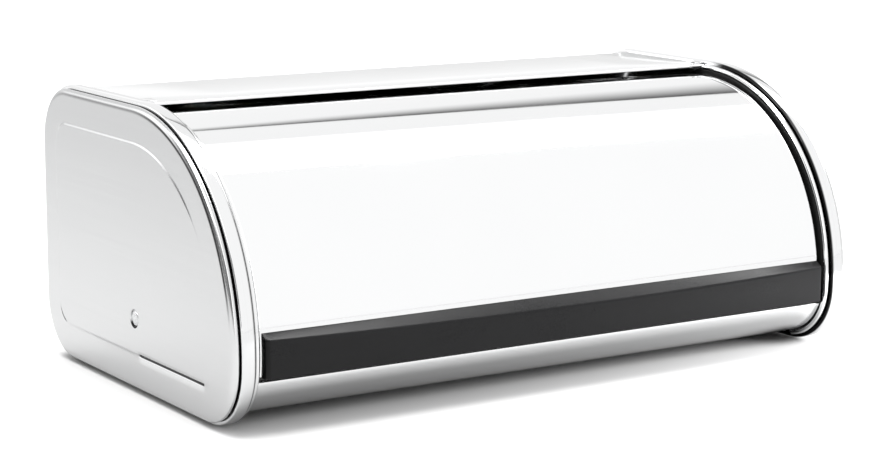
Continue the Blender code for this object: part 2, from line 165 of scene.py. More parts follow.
# Mirrored room. Edges are in degrees up from the horizontal behind the box, strengths are times plain white
PANEL_EDGE = 48.75
PANEL_END = 88.0
PANEL_NEAR_WHITE = 0.97
PANEL_BRIGHT = 9.0
FRONT_WHITE = 1.04
SHADE_DEPTH = 0.93
SHADE_CURVE = 1.45
DARK_ZONE_X = (-0.72, -0.60)
DARK_ZONE_Z = (0.42, 0.60)
DARK_ZONE_DEPTH = 0.9
LIGHT_PATCH_X = (-0.46, -0.34)
LIGHT_PATCH_STRENGTH = 0.9
CAMERA_WHITE = 1.1

# Floor and lamps
FLOOR_HALF = 9.0
FLOOR_IN_MIRRORS = 0.5
SUN_STRENGTH = 3.2
FILL_STRENGTH = 3.0
FILL_SIZE = 0.2
FILL_PLACE = Vector((0.44, -0.32, 0.13))
FILL_TARGET = Vector((0.10, -0.14, 0.02))

# Camera
CAMERA_PLACE = Vector((-0.79976, -1.24819, 0.34639))
CAMERA_AZIMUTH = -32.603
CAMERA_ELEVATION = 10.302
CAMERA_ROLL = 0.220
CAMERA_LENS = 94.51
SENSOR_WIDTH = 36.0


# ---------------------------------------------------------------- shader building

class Nodes:
    """A node tree, with short calls for the nodes that finishes and room share."""

    def __init__(self, tree):
        self.tree = tree

    def node(self, kind, **settings):
        made = self.tree.nodes.new(kind)
        for name, value in settings.items():
            setattr(made, name, value)
        return made

    def link(self, output, socket):
        self.tree.links.new(output, socket)

    def fill(self, socket, value):
        """Gives a socket a plain number, or links another node's output to it."""
        if isinstance(value, (int, float)):
            socket.default_value = value
        else:
            self.link(value, socket)

    def math(self, operation, *values):
        made = self.node("ShaderNodeMath", operation=operation)
        for socket, value in zip(made.inputs, values):
            self.fill(socket, value)
        return made.outputs[0]

    def between(self, value, from_low, from_high, low, high, smooth=True):
        """A number that runs from low to high as the value runs over a range."""
        made = self.node("ShaderNodeMapRange", interpolation_type="SMOOTHSTEP" if smooth else "LINEAR")
        labels = ("Value", "From Min", "From Max", "To Min", "To Max")
        for label, item in zip(labels, (value, from_low, from_high, low, high)):
            self.fill(made.inputs[label], item)
        return made.outputs["Result"]

    def parts(self, vector):
        """The X, Y and Z of a vector."""
        made = self.node("ShaderNodeSeparateXYZ")
        self.link(vector, made.inputs["Vector"])
        return made.outputs


class Paint(Nodes):
    """A new material, with the patterns that its colour, roughness and relief come from."""

    def __init__(self, name, color, metallic, roughness):
        self.material = bpy.data.materials.new(name)
        self.material.use_nodes = True
        super().__init__(self.material.node_tree)
        self.shader = self.tree.nodes["Principled BSDF"]
        self.shader.inputs["Base Color"].default_value = (*color, 1.0)
        self.shader.inputs["Metallic"].default_value = metallic
        self.shader.inputs["Roughness"].default_value = roughness
        self.place = self.tree.nodes.new("ShaderNodeTexCoord").outputs["Object"]

    def stretched(self, scale):
        """Object coordinates scaled per axis, in pattern cells per metre."""
        mapping = self.node("ShaderNodeMapping")
        mapping.inputs["Scale"].default_value = scale
        self.link(self.place, mapping.inputs["Vector"])
        return mapping.outputs["Vector"]

    def noise(self, scale, detail=3.0, roughness=0.5):
        made = self.node("ShaderNodeTexNoise")
        made.inputs["Scale"].default_value = 1.0
        made.inputs["Detail"].default_value = detail
        made.inputs["Roughness"].default_value = roughness
        self.link(self.stretched(scale), made.inputs["Vector"])
        return made.outputs["Fac"]

    def cells(self, scale):
        made = self.node("ShaderNodeTexVoronoi", feature="F1")
        made.inputs["Scale"].default_value = 1.0
        self.link(self.stretched(scale), made.inputs["Vector"])
        return made

    def ramp(self, pattern, low, high):
        """A number that runs from low to high as a pattern runs over its middle range."""
        return self.between(pattern, 0.35, 0.65, low, high, smooth=False)

    def blend_colors(self, value, dark, light):
        """Plain colours from dark to light, as the value runs from 0 to 1."""
        made = self.node("ShaderNodeMix", data_type="RGBA")
        self.link(value, made.inputs["Factor"])
        made.inputs["A"].default_value = (*dark, 1.0)
        made.inputs["B"].default_value = (*light, 1.0)
        return made.outputs["Result"]

    def blend_outputs(self, value, first, second):
        """One colour pattern that gives way to another."""
        made = self.node("ShaderNodeMix", data_type="RGBA")
        self.link(value, made.inputs["Factor"])
        self.link(first, made.inputs["A"])
        self.link(second, made.inputs["B"])
        return made.outputs["Result"]

    def added(self, first, second, share=0.5):
        """A weighted sum of two patterns."""
        made = self.node("ShaderNodeMix", data_type="FLOAT")
        made.inputs["Factor"].default_value = share
        self.link(first, made.inputs["A"])
        self.link(second, made.inputs["B"])
        return made.outputs["Result"]

    def set_color(self, output):
        self.link(output, self.shader.inputs["Base Color"])

    def set_roughness(self, output):
        self.link(output, self.shader.inputs["Roughness"])

    def set_bump(self, height, distance, strength=1.0):
        bump = self.node("ShaderNodeBump")
        bump.inputs["Strength"].default_value = strength
        bump.inputs["Distance"].default_value = distance
        self.link(height, bump.inputs["Height"])
        self.link(bump.outputs["Normal"], self.shader.inputs["Normal"])


def grey(tone):
    return (tone, tone, tone)


def mirror_steel():
    """Mirror-polished sheet: a trace of polishing haze, faint cloths' wipes and a very slow waviness."""
    paint = Paint("mirror steel", (0.93, 0.935, 0.94), 1.0, 0.04)
    haze = paint.ramp(paint.noise((14, 20, 20), 4.0), 0.02, 0.055)
    wipes = paint.ramp(paint.noise((6, 260, 260), 2.0), 0.0, 0.018)
    paint.set_roughness(paint.math("ADD", haze, wipes))
    tone = paint.noise((9, 11, 11), 3.0)
    paint.set_color(paint.blend_colors(tone, (0.915, 0.92, 0.925), (0.945, 0.948, 0.95)))
    paint.set_bump(paint.noise((11, 13, 13), 1.0), 0.00003, 0.35)
    return paint.material


def polished_steel():
    """Bright rolled sheet with a fine grain along the box's width."""
    paint = Paint("polished steel", (0.90, 0.905, 0.91), 1.0, 0.12)
    grain = paint.noise((4, 1400, 1400), 3.0, 0.6)
    cloud = paint.noise((8, 14, 14), 3.0)
    paint.set_roughness(paint.ramp(paint.added(grain, cloud), 0.06, 0.13))
    paint.set_color(paint.blend_colors(grain, (0.875, 0.88, 0.885), (0.93, 0.934, 0.938)))
    paint.set_bump(grain, 0.000004, 0.5)
    return paint.material


def satin_steel():
    """Satin sheet, brushed from front to rear, with painted light that leaves it greyer towards the top,
    and painted shade in its seams.
    """
    paint = Paint("satin steel", (0.74, 0.75, 0.76), 1.0, 0.17)
    strokes = paint.noise((1500, 9, 1500), 4.0, 0.65)
    long_strokes = paint.noise((300, 3, 420), 2.0)
    cloud = paint.noise((7, 7, 7), 3.0)
    lines = paint.added(strokes, long_strokes, 0.35)
    # Painted light: the sheet is lighter low down and greyer towards the top
    rise = paint.between(paint.parts(paint.place)["Z"], 0.02, 0.16, 0.0, 1.0, smooth=False)
    painted_light_low_tone = paint.blend_colors(lines, (0.80, 0.805, 0.81), (0.90, 0.902, 0.905))
    painted_light_high_tone = paint.blend_colors(lines, (0.57, 0.575, 0.58), (0.67, 0.672, 0.675))
    steel = paint.blend_outputs(rise, painted_light_low_tone, painted_light_high_tone)
    # Painted shade: near black where the mesh's shade attribute marks the seams, the groove, the crease and
    # the dimple
    seam = paint.node("ShaderNodeAttribute", attribute_name="shade").outputs["Fac"]
    painted_shade = paint.blend_colors(lines, grey(0.01), grey(0.02))
    paint.set_color(paint.blend_outputs(seam, steel, painted_shade))
    paint.set_roughness(paint.ramp(paint.added(lines, cloud), 0.13, 0.21))
    paint.set_bump(lines, 0.000008, 0.5)
    return paint.material


def trim_steel():
    """Bright rolled trim with fine lines along its length, and painted shade along the joint between band
    and bead.
    """
    paint = Paint("trim steel", (0.88, 0.885, 0.89), 1.0, 0.06)
    lines = paint.noise((2600, 5, 5), 3.0, 0.6)
    cloud = paint.noise((30, 18, 18), 3.0)
    bright = paint.blend_colors(lines, (0.84, 0.845, 0.85), (0.92, 0.923, 0.926))
    painted_shade = paint.blend_colors(lines, grey(0.01), grey(0.03))
    # Painted shade in a narrow band about the joint between band and bead, towards the front
    spot = paint.parts(paint.place)
    away = paint.math("ABSOLUTE", paint.math("SUBTRACT", paint.math("ABSOLUTE", spot["X"]), JOINT_X))
    near = paint.between(away, JOINT_CORE, JOINT_REACH, 1.0, 0.0, smooth=False)
    front = paint.between(spot["Y"], JOINT_END_Y, 0.0, 1.0, 0.0, smooth=False)
    paint.set_color(paint.blend_outputs(paint.math("MULTIPLY", near, front), bright, painted_shade))
    paint.set_roughness(paint.ramp(paint.added(lines, cloud), 0.03, 0.08))
    paint.set_bump(lines, 0.000003, 0.5)
    return paint.material


def zinc_steel():
    """Zinc-plated fasteners: faint spangle and small wear marks."""
    paint = Paint("zinc steel", (0.66, 0.67, 0.68), 1.0, 0.33)
    spangle = paint.cells((900, 900, 900))
    grey = paint.node("ShaderNodeSeparateColor")
    paint.link(spangle.outputs["Color"], grey.inputs["Color"])
    wear = paint.noise((700, 700, 700), 4.0)
    paint.set_color(paint.blend_colors(grey.outputs["Red"], (0.72, 0.73, 0.74), (0.86, 0.865, 0.87)))
    paint.set_roughness(paint.ramp(wear, 0.16, 0.30))
    paint.set_bump(wear, 0.00001, 0.5)
    return paint.material


def moulded(name, dark, light, low, high, grain=2600.0, relief=0.00002, sheen=0.5):
    """Moulded plastic or rubber: fine spark-eroded grain, and slow changes of sheen."""
    paint = Paint(name, light, 0.0, (low + high) / 2)
    paint.shader.inputs["Specular IOR Level"].default_value = sheen
    pits = paint.cells((grain, grain, grain)).outputs["Distance"]
    cloud = paint.noise((22, 40, 40), 4.0)
    paint.set_color(paint.blend_colors(cloud, dark, light))
    paint.set_roughness(paint.ramp(paint.added(cloud, pits, 0.25), low, high))
    paint.set_bump(pits, relief, 0.5)
    return paint.material


FINISHES = {
    "mirror_steel": mirror_steel(),
    "polished_steel": polished_steel(),
    "satin_steel": satin_steel(),
    "trim_steel": trim_steel(),
    "pin_steel": zinc_steel(),
    "handle_plastic": moulded("handle plastic", (0.005, 0.005, 0.0055), (0.009, 0.009, 0.0095), 0.26, 0.38,
                              sheen=0.2),
    # Near-black guide plastic: painted shade for the gap beside the lid's end
    "guide_plastic": moulded("guide plastic", grey(0.006), grey(0.012), 0.40, 0.55, sheen=0.2),
    "bush_plastic": moulded("bush plastic", (0.72, 0.72, 0.69), (0.82, 0.82, 0.80), 0.38, 0.5, 1600),
    "rubber": moulded("rubber", grey(0.035), grey(0.07), 0.65, 0.85, 1500, 0.00005),
}


# ---------------------------------------------------------------- outline

def arc(centre_y, centre_z, radius, start, end, steps):
    """Stations along an arc: its centre, its radius and the angle, which runs from +Y towards +Z."""
    turns = [start + (end - start) * i / steps for i in range(steps + 1)]
    return [(centre_y, centre_z, radius, math.radians(turn)) for turn in turns]


def at(station, offset=0.0):
    """The (y, z) of a station, moved outwards by an offset."""
    centre_y, centre_z, radius, angle = station
    reach = radius + offset
    return centre_y + reach * math.cos(angle), centre_z + reach * math.sin(angle)


def corner_beside_arc():
    """Where the small front corner's centre lies, and the angle at which it meets the large arc."""
    rise = END_BOTTOM + FRONT_CORNER - PIVOT.z
    run = math.sqrt((ARC_RADIUS - FRONT_CORNER) ** 2 - rise**2)
    return PIVOT.y - run, 180 + math.degrees(math.atan2(-rise, run))


FRONT_CENTRE_Z = END_BOTTOM + FRONT_CORNER
FRONT_CENTRE_Y, FRONT_MEET = corner_beside_arc()
REAR_CENTRE_Y = END_REAR - REAR_CORNER
REAR_LOW_Z = END_BOTTOM + REAR_CORNER
REAR_HIGH_Z = PIVOT.z + ARC_RADIUS - REAR_CORNER


def front_arc(start, end):
    return arc(PIVOT.y, PIVOT.z, ARC_RADIUS, start, end, ARC_STEPS)


def front_corner(start, end, steps):
    return arc(FRONT_CENTRE_Y, FRONT_CENTRE_Z, FRONT_CORNER, start, end, steps)


def low_corner():
    return arc(REAR_CENTRE_Y, REAR_LOW_Z, REAR_CORNER, 270, 360, REAR_STEPS)


def high_corner():
    return arc(REAR_CENTRE_Y, REAR_HIGH_Z, REAR_CORNER, 360, 450, REAR_STEPS)


def straight(first, last, steps):
    """Stations between two others on a straight stretch, without its ends."""
    made = []
    for i in range(1, steps):
        share = i / steps
        centre_y = first[0] + (last[0] - first[0]) * share
        centre_z = first[1] + (last[1] - first[1]) * share
        made.append((centre_y, centre_z, first[2] + (last[2] - first[2]) * share, last[3]))
    return made


def end_outline():
    """The whole side outline with evenly fine stations, starting at the top of the large arc."""
    front = front_arc(90, FRONT_MEET)
    corner = front_corner(FRONT_MEET, 270, FRONT_STEPS)[1:]
    low, high = low_corner(), high_corner()
    bottom = straight(corner[-1], low[0], 150)
    rear = straight(low[-1], high[0], 30)
    top = straight(high[-1], (front[0][0], front[0][1], front[0][2], high[-1][3]), 26)
    return front + corner + bottom + low + rear + high + top


# ---------------------------------------------------------------- mesh building

def put(name, mesh, slot, body, *nodes):
    """Puts a finished mesh in the scene as the piece that stands for these CAD nodes."""
    mesh.materials.clear()
    mesh.materials.append(FINISHES[slot])
    piece = bpy.data.objects.new(name, mesh)
    bpy.context.scene.collection.objects.link(piece)
    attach(piece, body)
    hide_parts(*nodes)


def closed_mesh(name, bm, sharp=35.0):
    """A mesh from a closed bmesh, with its faces outwards and smooth shading between the sharp edges."""
    bmesh.ops.recalc_face_normals(bm, faces=bm.faces)
    mesh = bpy.data.meshes.new(name)
    bm.to_mesh(mesh)
    bm.free()
    mesh.shade_smooth()
    mesh.set_sharp_from_angle(angle=math.radians(sharp))
    return mesh


def bridge(bm, rings, closed=False):
    """Joins each ring of vertices to the next with quads, and the last to the first if closed."""
    pairs = list(zip(rings, rings[1:]))
    if closed:
        pairs.append((rings[-1], rings[0]))
    for low, high in pairs:
        for j in range(len(low)):
            k = (j + 1) % len(low)
            bm.faces.new((low[j], low[k], high[k], high[j]))


def turned(name, profile, place, direction, steps=48):
    """A turned solid from (radius, height) points along the direction. A tube's profile is a loop."""
    bm = bmesh.new()
    rings = []
    for radius, height in profile:
        turns = [2 * math.pi * i / steps for i in range(steps if radius else 1)]
        rings.append([bm.verts.new((radius * math.cos(t), radius * math.sin(t), height)) for t in turns])
    tube = profile[0][0] > 0
    for low, high in zip(rings, rings[1:] + rings[:1] if tube else rings[1:]):
        for i in range(steps):
            j = (i + 1) % steps
            corners = [low[0]] if len(low) == 1 else [low[i], low[j]]
            corners += [high[0]] if len(high) == 1 else [high[j], high[i]]
            bm.faces.new(corners)
    turn = Vector((0, 0, 1)).rotation_difference(Vector(direction)).to_matrix().to_4x4()
    bm.transform(Matrix.Translation(place) @ turn)
    return closed_mesh(name, bm)


def rounded(points, radius, steps=4):
    """A profile's corner points with each inner corner replaced by a small round."""
    made = [points[0]]
    for before, corner, after in zip(points, points[1:], points[2:]):
        middle = Vector(corner)
        first, second = Vector(before) - middle, Vector(after) - middle
        reach = min(radius, first.length / 2.2, second.length / 2.2)
        start, end = middle + first.normalized() * reach, middle + second.normalized() * reach
        for i in range(steps + 1):
            t = i / steps
            made.append(tuple(start * (1 - t) ** 2 + middle * 2 * t * (1 - t) + end * t**2))
    made.append(points[-1])
    return made


# ---------------------------------------------------------------- rolled strips, by geometry nodes

def new_tree(name, inputs):
    """An empty tree with its named inputs: (name, kind) or (name, kind, first value)."""
    tree = bpy.data.node_groups.new(name, "GeometryNodeTree")
    for label, kind, *value in inputs:
        socket = tree.interface.new_socket(label, in_out="INPUT", socket_type=f"NodeSocket{kind}")
        if value:
            socket.default_value = value[0]
    return tree


def finish_tree(tree, geometry, material, result):
    """Ends a tree: its geometry made real, given its material and handed out."""
    new, link = tree.nodes.new, tree.links.new
    realize = new("GeometryNodeRealizeInstances")
    link(geometry, realize.inputs["Geometry"])
    finish = new("GeometryNodeSetMaterial")
    link(realize.outputs["Geometry"], finish.inputs["Geometry"])
    link(material, finish.inputs["Material"])
    tree.interface.new_socket(result, in_out="OUTPUT", socket_type="NodeSocketGeometry")
    link(finish.outputs["Geometry"], new("NodeGroupOutput").inputs[result])
    return tree


def rolled_strip_tree():
    """Sheet or trim rolled along a path: a crowned section with round edges, swept and capped."""
    tree = new_tree("rolled strip", (("Path", "Geometry"), ("Width", "Float", 10 * MM),
                                     ("Thickness", "Float", 1 * MM), ("Edge Radius", "Float", 0.2 * MM),
                                     ("Crown", "Float"), ("Middle X", "Float"), ("Material", "Material")))
    new, link = tree.nodes.new, tree.links.new
    math_node = Nodes(tree).math
    sizes = new("NodeGroupInput").outputs
    section = new("GeometryNodeCurvePrimitiveQuadrilateral")
    link(sizes["Width"], section.inputs["Width"])
    link(sizes["Thickness"], section.inputs["Height"])
    fillet = new("GeometryNodeFilletCurve")
    fillet.mode = "POLY"
    fillet.inputs["Count"].default_value = 4
    fillet.inputs["Limit Radius"].default_value = True
    link(section.outputs["Curve"], fillet.inputs["Curve"])
    link(sizes["Edge Radius"], fillet.inputs["Radius"])
    split = new("GeometryNodeSubdivideCurve")
    split.inputs["Cuts"].default_value = 6
    link(fillet.outputs["Curve"], split.inputs["Curve"])
    place = Nodes(tree).parts(new("GeometryNodeInputPosition").outputs["Position"])
    share = math_node("DIVIDE", place["X"], sizes["Width"])
    fall = math_node("MULTIPLY_ADD", math_node("MULTIPLY", share, share), -4.0, 1.0)
    offset = new("ShaderNodeCombineXYZ")
    link(sizes["Middle X"], offset.inputs["X"])
    link(math_node("MULTIPLY", fall, sizes["Crown"]), offset.inputs["Y"])
    shaped = new("GeometryNodeSetPosition")
    link(split.outputs["Curve"], shaped.inputs["Geometry"])
    link(offset.outputs["Vector"], shaped.inputs["Offset"])
    upright = new("GeometryNodeSetCurveNormal")
    upright.mode = "FREE"
    upright.inputs["Normal"].default_value = (1, 0, 0)
    link(sizes["Path"], upright.inputs["Curve"])
    sweep = new("GeometryNodeCurveToMesh")
    sweep.inputs["Fill Caps"].default_value = True
    link(upright.outputs["Curve"], sweep.inputs["Curve"])
    link(shaped.outputs["Geometry"], sweep.inputs["Profile Curve"])
    return finish_tree(tree, sweep.outputs["Mesh"], sizes["Material"], "Strip")


def grown_mesh(name, source, tree, values, sharp=35.0):
    """Runs a tree on a source object and returns what it makes as a plain mesh."""
    bpy.context.scene.collection.objects.link(source)
    modifier = source.modifiers.new(tree.name, "NODES")
    modifier.node_group = tree
    sockets = {item.name: item.identifier for item in tree.interface.items_tree if item.in_out == "INPUT"}
    for label, value in values.items():
        modifier[sockets[label]] = value
    graph = bpy.context.evaluated_depsgraph_get()
    mesh = bpy.data.meshes.new_from_object(source.evaluated_get(graph), depsgraph=graph)
    mesh.name = name
    source.modifiers.remove(modifier)
    bpy.data.objects.remove(source)
    mesh.shade_smooth()
    mesh.set_sharp_from_angle(angle=math.radians(sharp))
    return mesh


STRIP = rolled_strip_tree()


def path_object(points):
    """A curve through (y, z) points, in the plane of the box's middle."""
    curve = bpy.data.curves.new("path", "CURVE")
    curve.dimensions = "3D"
    spline = curve.splines.new("POLY")
    spline.points.add(len(points) - 1)
    for point, (y, z) in zip(spline.points, points):
        point.co = (0, y, z, 1)
    return bpy.data.objects.new("path", curve)


def strip(name, points, slot, low_x, high_x, thickness, edge, crown=0.0):
    """A mesh rolled along (y, z) points, between two places along X."""
    values = {
        "Width": high_x - low_x,
        "Thickness": thickness,
        "Edge Radius": edge,
        "Crown": crown,
        "Middle X": (low_x + high_x) / 2,
        "Material": FINISHES[slot],
    }
    return grown_mesh(name, path_object(points), STRIP, values)


# ---------------------------------------------------------------- pressed ends

def smooth_step(value, low, high):
    t = min(1.0, max(0.0, (value - low) / (high - low)))
    return t * t * (3 - 2 * t)


def field_height(y, z):
    """How high the raised field stands here, from 0 to 1: it runs out smoothly towards the front."""
    along_top = smooth_step(y, FIELD_FADE_Y, FIELD_TOP_FULL_Y)
    along_bottom = smooth_step(y, FIELD_FADE_Y, FIELD_BOTTOM_FULL_Y)
    high = smooth_step(z, *FIELD_MIDDLE_Z)
    return along_bottom * (1 - high) + along_top * high


def crease_depth(y, z):
    """How deep the sharp crease on the field's lower edge is here, from 0 to 1. It runs along the front
    half, with abrupt ends, and comes back for a short stretch at the low rear corner."""
    if z > CREASE_TOP_Z:
        return 0.0
    front = min(smooth_step(y, CREASE_FRONT_Y - 0.4 * MM, CREASE_FRONT_Y + 0.4 * MM),
                smooth_step(-y, -CREASE_REAR_Y - 1 * MM, -CREASE_REAR_Y + 1 * MM))
    corner = smooth_step(y, CREASE_CORNER_Y, CREASE_CORNER_Y + 4 * MM)
    return max(front, CREASE_CORNER_DEPTH * corner)


def seam_strength(y, z):
    """How strong the painted shade on the line between the face and its ring is here: full in front,
    lighter along the top.
    """
    turn = math.degrees(math.atan2(z - PIVOT.z, y - PIVOT.y))
    strength = 0.5 * smooth_step(turn, *SEAM_TOP_ANGLES) + 0.5 * smooth_step(turn, *SEAM_FRONT_ANGLES)
    return strength * (1 - smooth_step(turn, *SEAM_END_ANGLES))


def panel_levels():
    """Levels of the outer skin from the rim inwards: (depth behind the end face, offset, share of the
    face's sink, shade in the groove behind the ring, shade in the seam beside the face)."""
    crest = RING_RADIUS
    tail = [(5.6, 0.7, 1), (4.6, 0.7, 1), (4.2, 1.1, 1), (3.8, 1.7, 0.9)]
    levels = [(depth * MM, offset * MM, 0, groove, 0) for depth, offset, groove in tail]
    levels += [(3.3 * MM, crest - 0.06 * MM, 0, 0.25, 0), (2.9 * MM, crest, 0, 0, 0)]
    seams = {11: 0.2, 12: 0.7, 13: 1.0, 14: 1.0, 15: 0.7, 16: 0.2}
    for i in range(EDGE_LEVELS + 1):
        t = math.pi / 2 * (1 - i / EDGE_LEVELS)
        depth = FACE_SINK + RING_RADIUS * (1 - math.cos(t))
        offset = crest - EDGE_REACH * (1 - math.sin(t))
        levels.append((depth, offset, 1 - math.sin(t), 0, seams.get(i, 0)))
    inner = crest - EDGE_REACH
    for offset in (inner - 0.5 * MM, inner - 2 * MM, -8 * MM, -14 * MM):
        levels.append((FACE_SINK, offset, 1, 0, 0))
    return levels


def end_panel(side_name, side):
    """A pan pressed from one sheet: ring, sunk border, raised field and a dimple for the pivot pin."""
    stations = end_outline()
    bm = bmesh.new()
    shade = bm.verts.layers.float.new("shade")

    def ring_at_offset(depth, offset, share, groove=0.0, seam=0.0):
        """A ring of the border: where the field has run out, it rises to the field's level by its share."""
        ring = []
        for station in stations:
            y, z = at(station, offset)
            inset = depth - share * FACE_SINK * (1 - field_height(*at(station, -FIELD_INSET)))
            vert = bm.verts.new((side * (HALF_WIDTH - inset), y, z))
            # Painted shade in the groove behind the ring and in the seam beside the face
            vert[shade] = max(groove, seam * seam_strength(y, z))
            ring.append(vert)
        return ring

    def step_ring(offset, rise):
        """A ring on the field's edge, from the border's level at rise 0 to the field's own at rise 1."""
        ring = []
        for station in stations:
            y, z = at(station, offset)
            height = field_height(*at(station, -FIELD_INSET))
            inset = FACE_SINK * height * (1 - rise)
            ring.append(bm.verts.new((side * (HALF_WIDTH - inset), y, z)))
        return ring

    def round_ring(depth, radius, share):
        """Between the field's edge, at share 0, and a circle of this radius about the pivot, at share 1."""
        ring = []
        for station in stations:
            y, z = at(station, -FIELD_INSET - 3 * MM)
            out = Vector((y - PIVOT.y, z - PIVOT.z))
            reach = out.length * (1 - share) + radius * share
            spot = out.normalized() * reach
            ring.append(bm.verts.new((side * (HALF_WIDTH - depth), PIVOT.y + spot.x, PIVOT.z + spot.y)))
        return ring

    rings = [ring_at_offset(*level) for level in panel_levels()]
    steps = 12
    for i in range(steps + 1):
        t = i / steps
        rings.append(step_ring(-FIELD_INSET + FIELD_STEP * (0.5 - t), smooth_step(t, 0, 1)))
        across = smooth_step(t, 0, 0.3) * smooth_step(1 - t, 0, 0.3)
        for vert in rings[-1]:
            deep = across * crease_depth(vert.co.y, vert.co.z)
            vert.co.x -= side * CREASE_DEPTH * deep
            # Painted shade on the crease, darkest where it is deepest
            vert[shade] = min(1.0, CREASE_SHADE * deep)
    rim = DIMPLE_RADIUS
    for share in (0.0, 0.25, 0.5, 0.75, 0.9):
        rings.append(round_ring(0, rim + DIMPLE_ROLL, share))
    for depth, radius in rounded([(0, rim + DIMPLE_ROLL), (0, rim), (DIMPLE_DEPTH, rim - 0.2 * MM),
                                  (DIMPLE_DEPTH, PIN_BORE)], 0.5 * MM):
        rings.append(round_ring(depth, radius, 1))
        for vert in rings[-1]:
            # Painted shade on the dimple's sunk lower side
            low = (0.4 * (vert.co.y - PIVOT.y) - 0.9 * (vert.co.z - PIVOT.z)) / rim
            vert[shade] = smooth_step(low, 0.6, 0.85) if depth > 0 else 0.0
    back = DIMPLE_DEPTH + SHEET
    for depth, radius in rounded([(back, PIN_BORE), (back, rim + DIMPLE_ROLL), (SHEET, rim + 1.6 * MM)],
                                 0.4 * MM):
        rings.append(round_ring(depth, radius, 1))
    for share in (0.9, 0.5, 0.0):
        rings.append(round_ring(SHEET, rim + 2 * MM, share))
    for offset, rise in ((-FIELD_INSET - FIELD_STEP / 2, 1), (-FIELD_INSET + FIELD_STEP / 2, 0)):
        ring = step_ring(offset, rise)
        for vert in ring:
            vert.co.x -= side * SHEET
        rings.append(ring)
    inner_skin = ((1.3, -8, 1), (1.3, -0.6, 1), (1.7, 0.5, 0.5), (2.6, 1.1, 0), (4.4, 0.2, 0),
                  (5.6, -0.1, 0))
    for depth, offset, share in inner_skin:
        rings.append(ring_at_offset(depth * MM, offset * MM, share))
    bridge(bm, rings, closed=True)
    name = f"end_panel_{side_name}"
    put(f"pressed_{name}", closed_mesh(name, bm), "satin_steel", "box", name)


# ---------------------------------------------------------------- trim

def side_range(side, low, high):
    """The X range of a strip whose left twin lies between these two corners."""
    return sorted((-side * low.x, -side * high.x))


def rim_trim(side_name, side):
    """The wide crowned band round the end."""
    stations = front_corner(270.3, 270.3, 1)[:1]
    stations += low_corner() + high_corner() + front_arc(90, FRONT_MEET)
    stations += front_corner(FRONT_MEET, 270, FRONT_STEPS)[1:]
    thickness = TRIM_RISE - TRIM_CROWN - TRIM_LAP
    points = [at(station, TRIM_RISE - TRIM_CROWN - thickness / 2) for station in stations]
    low_x, high_x = side_range(side, TRIM_LOW, TRIM_HIGH)
    name = f"rim_trim_{side_name}"
    mesh = strip(name, points, "trim_steel", low_x, high_x, thickness, TRIM_EDGE, TRIM_CROWN)
    put(f"crowned_{name}", mesh, "trim_steel", "box", name)


def arch_bead(side_name, side):
    """The rolled bead at the lid's opening: a round-topped strip."""
    rise = BEAD_HIGH.z - PIVOT.z - ARC_RADIUS
    thickness = rise + BEAD_LAP
    stations = front_arc(BEAD_TOP_ANGLE, FRONT_MEET)
    stations += front_corner(FRONT_MEET, BEAD_FOOT_ANGLE, FRONT_STEPS - 2)[1:]
    points = [at(station, rise - thickness / 2) for station in stations]
    low_x, high_x = side_range(side, BEAD_LOW, BEAD_HIGH)
    name = f"arch_bead_{side_name}"
    mesh = strip(name, points, "trim_steel", low_x, high_x, thickness, BEAD_EDGE)
    put(f"rolled_{name}", mesh, "trim_steel", "box", name)


def lid_guide(side_name, side):
    """A near-black plastic strip in the gap beside the lid's end, standing in as painted shade for the
    gap's shadow and dark reflections.
    """
    points = [at(station, GUIDE_TOP - GUIDE_DEPTH / 2) for station in front_arc(*GUIDE_ANGLES)]
    low_x, high_x = side_range(side, GUIDE_LOW, GUIDE_HIGH)
    name = f"lid_guide_{side_name}"
    mesh = strip(name, points, "guide_plastic", low_x, high_x, GUIDE_DEPTH, 0.5 * MM)
    put(f"moulded_{name}", mesh, "guide_plastic", "box", name)


# ---------------------------------------------------------------- body, lid and handle

def body_path():
    """The middle line of the bent sheet: hemmed lip, top, rear, bottom, sill and its folded ledge."""
    half = SHEET / 2
    lip_z = BODY_HIGH.z - LIP_DROP - half
    points = [(LIP_FRONT_Y + LIP_HEM, lip_z - 2 * LIP_FOLD)]
    points += [at(s) for s in arc(LIP_FRONT_Y + half + LIP_FOLD, lip_z - LIP_FOLD, LIP_FOLD, 270, 90, 10)]
    points.append((LIP_BEND_Y, BODY_HIGH.z - half))
    high_y, high_z = BODY_HIGH.y - BODY_TOP_CORNER, BODY_HIGH.z - BODY_TOP_CORNER
    points += [at(s, -half) for s in arc(high_y, high_z, BODY_TOP_CORNER, 90, 0, 24)]
    low_y, low_z = BODY_HIGH.y - BODY_LOW_CORNER, BODY_LOW.z + BODY_LOW_CORNER
    points += [at(s, -half) for s in arc(low_y, low_z, BODY_LOW_CORNER, 0, -90, 24)]
    sill_z = BODY_LOW.z + SILL_CORNER
    turn = 180 + math.degrees(math.asin((sill_z - SILL_TOP + 1.2 * MM) / SILL_CORNER))
    points += [at(s, -half) for s in arc(FRONT_CENTRE_Y, sill_z, SILL_CORNER, 270, turn, 24)]
    y, z = points[-1]
    points += [at(s) for s in arc(y + SILL_BEND, z, SILL_BEND, 180, 90, 6)[1:]]
    points.append((y + SILL_LEDGE, z + SILL_BEND))
    return points


def body_shell():
    points = body_path()[::-1]
    mesh = strip("body_shell", points, "polished_steel", BODY_LOW.x, BODY_HIGH.x, SHEET, 0.3 * MM)
    put("bent_body_shell", mesh, "polished_steel", "box", "body_shell")


def lid_section():
    """The lid sheet's section along X, a loop of (x, offset): flat, with both ends rolled down."""
    half = LID_HIGH.x
    turns = [math.radians(LID_ROLL_TURN * i / 8) for i in range(9)]
    right = [(half - LID_ROLL + LID_ROLL * math.sin(t), -LID_ROLL * (1 - math.cos(t))) for t in turns]
    inner = LID_ROLL - SHEET
    right += [(half - LID_ROLL + inner * math.sin(t), inner * math.cos(t) - LID_ROLL) for t in turns[::-1]]
    return right + [(-x, offset) for x, offset in right[::-1]]


